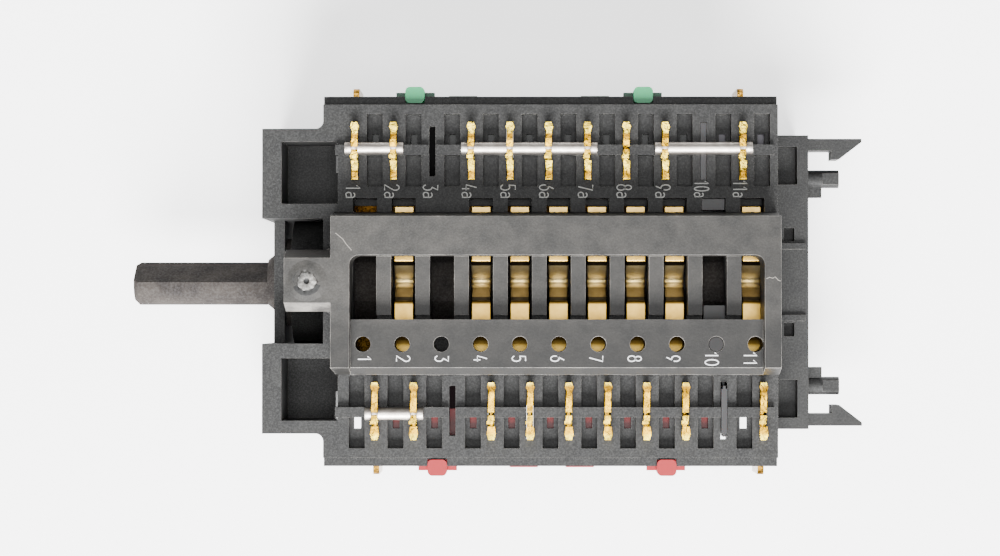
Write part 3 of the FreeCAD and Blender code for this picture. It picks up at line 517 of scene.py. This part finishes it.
figures = {
    "0": [bow(0.5, 0.5, 0.5, 0.5, 0, 360)],
    "1": [stroke((0.1, 0.72), (0.62, 1), (0.62, 0))],
    "2": [stroke(bow(0.5, 0.74, 0.5, 0.26, 165, -35), (0, 0), (1, 0))],
    "3": [stroke((0.05, 1), (0.95, 1), (0.45, 0.6), bow(0.48, 0.3, 0.5, 0.3, 80, -155))],
    "4": [stroke((0.5, 1), (0, 0.28), (1, 0.28)), stroke((0.72, 0.5), (0.72, 0))],
    "5": [stroke((0.92, 1), (0.12, 1), (0.06, 0.56), bow(0.48, 0.31, 0.5, 0.31, 120, -150))],
    "6": [stroke((0.75, 1), (0.08, 0.45)), bow(0.5, 0.31, 0.48, 0.31, 0, 360)],
    "7": [stroke((0, 1), (1, 1), (0.35, 0))],
    "8": [bow(0.5, 0.77, 0.4, 0.23, 0, 360), bow(0.5, 0.28, 0.5, 0.28, 0, 360)],
    "9": [bow(0.5, 0.69, 0.48, 0.31, 0, 360), stroke((0.92, 0.55), (0.25, 0))],
    "a": [stroke(bow(0.5, 0.44, 0.45, 0.17, 150, 0), (0.95, 0)),
          stroke((0.95, 0.36), bow(0.42, 0.18, 0.4, 0.18, 90, 270), (0.95, 0.06))],
}


def ribbon(path, width):
    """A flat band of one width along a path: each point moves half the width to either side."""
    ahead = np.gradient(path, axis=0)
    ahead /= np.linalg.norm(ahead, axis=1, keepdims=True)
    aside = np.stack([-ahead[:, 1], ahead[:, 0]], axis=1) * width / 2
    points = np.concatenate([path - aside, path + aside])
    count = len(path)
    low = np.arange(count - 1)
    return points, np.stack([low, low + 1, low + 1 + count, low + count], axis=1)


def mark(text, x, y, z, height, squeeze=1.0):
    """Narrow figures whose tops point to +X, centred on y, as flat points and faces."""
    bands = []
    left = 0.0
    for letter in text:
        for path in figures[letter]:
            bands.append(ribbon(path * (mark_width * squeeze, height) + (left, 0), mark_stroke))
        left += (mark_width + mark_gap) * squeeze
    middle = (left - mark_gap * squeeze) / 2
    parts = []
    for flat, faces in bands:
        place = [x + flat[:, 1], y + middle - flat[:, 0], np.full(len(flat), z + mark_rise)]
        parts.append((np.stack(place, axis=1) * MM, faces))
    return parts


def matt_skin(name, colour):
    """A dull skin of one colour, such as foamed resin, torn resin or paper."""
    material, tree = new_material(name)
    shader = add(tree, "ShaderNodeBsdfPrincipled", Base_Color=linear(colour), Roughness=0.8,
                 IOR=1.45)
    add(tree, "ShaderNodeOutputMaterial", {"Surface": shader.outputs["BSDF"]})
    return material


plate_marks = []
band_marks = []
for lane in range(1, lane_count + 1):
    long_mark = lane > 9
    plate_marks += mark("%da" % lane, lane_x(lane) + plate_mark_shift,
                        long_mark_y if long_mark else plate_mark_y, plate_top,
                        plate_mark_height, long_mark_squeeze if long_mark else 1.0)
    band_marks += mark(str(lane), lane_x(1) + band_mark_shift + band_mark_pitch * (lane - 1),
                       band_mark_y, band_top, band_mark_height)
plate_numbers = joined("plate_numbers", plate_marks)
band_numbers = joined("band_numbers", band_marks)
# The plate's figures are painted greyer, as painted shade under the frame's beam.
plate_numbers.data.materials.append(matt_skin("laser_mark_painted_greyer", "#a8a8a4"))
band_numbers.data.materials.append(matt_skin("bright_laser_mark", "#c9c9c9"))
for obj in (plate_numbers, band_numbers):
    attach(obj, "switch_body")


# Scuffs: two scratches on the frame, where handling has torn the skin and left pale resin.
# They are as thin as a hair and lie just proud of the surface.
scuff_width = 0.08
scuff_paths = [
    [(64.5, 0.2), (64.9, 0.38), (65.3, 0.25), (65.6, 0.44), (66.0, 0.0), (66.3, -0.1)],
    [(9.95, 6.0), (10.9, 5.2), (11.3, 4.6), (12.0, 3.8)]]
scuffs = []
for path in scuff_paths:
    flat, faces = ribbon(np.array(path), scuff_width)
    place = np.column_stack([flat, np.full(len(flat), frame_top + mark_rise)])
    scuffs.append((place * MM, faces))
scratches = joined("frame_scuffs", scuffs)
scratches.data.materials.append(matt_skin("torn_resin", "#7c7872"))
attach(scratches, "switch_body")


# Floor: a white sheet on a light table, just under the part. It glows enough to look almost
# blank, and still takes the part's soft shadow. From here on, lengths are in metres.
floor_half = 3.0
floor_gap = 0.2 * MM
floor_glow = 1.6


def flat_sheet(name, half, z):
    """A square sheet at one height."""
    mesh = bpy.data.meshes.new(name)
    corners = [(-half, -half, z), (half, -half, z), (half, half, z), (-half, half, z)]
    mesh.from_pydata(corners, [], [(0, 1, 2, 3)])
    obj = bpy.data.objects.new(name, mesh)
    bpy.context.collection.objects.link(obj)
    return obj


paper = matt_skin("light_table", "#f4f4f4")
paper_shader = paper.node_tree.nodes["Principled BSDF"]
paper_shader.inputs["Emission Color"].default_value = linear("#ffffff")
paper_shader.inputs["Emission Strength"].default_value = floor_glow
floor = flat_sheet("floor", floor_half, cad_box[0][2] - floor_gap)
floor.data.materials.append(paper)


# Lights: a large soft box high above the near side, a weak one overhead, and a faint even
# light from the room, which keeps the slots and windows from going black.
def soft_light(name, place, target, size, power):
    """A square area light that faces a point."""
    data = bpy.data.lights.new(name, "AREA")
    data.size = size
    data.energy = power
    obj = bpy.data.objects.new(name, data)
    obj.location = place
    obj.rotation_euler = (Vector(target) - Vector(place)).to_track_quat("-Z", "Y").to_euler()
    bpy.context.collection.objects.link(obj)


lit_point = (0.033, 0.0, 0.0)
soft_light("near_softbox", (0.033, -0.85, 0.72), lit_point, size=0.75, power=92.0)
soft_light("overhead", (0.033, -0.06, 1.05), lit_point, size=0.45, power=9.0)
world = bpy.data.worlds.new("studio")
world.use_nodes = True
world.node_tree.nodes["Background"].inputs["Color"].default_value = linear("#f2f4f7")
world.node_tree.nodes["Background"].inputs["Strength"].default_value = 0.26
bpy.context.scene.world = world


# Camera: almost straight above the part, a little towards its near side, with a long lens.
# The shaft points to the left of the picture.
camera_place = Vector((0.03345, -0.0049, 0.389))
camera_target = Vector((0.03074, 0.00039, 0.014))
camera_data = bpy.data.cameras.new("camera")
camera_data.sensor_width = 36.0
camera_data.lens = 104.6
camera_data.clip_start = 0.01
camera = bpy.data.objects.new("camera", camera_data)
camera.location = camera_place
back = (camera_place - camera_target).normalized()
right = Vector((0, 1, 0)).cross(back).normalized()
upward = back.cross(right)
camera.rotation_euler = Matrix((right, upward, back)).transposed().to_euler()
bpy.context.collection.objects.link(camera)
bpy.context.scene.camera = camera
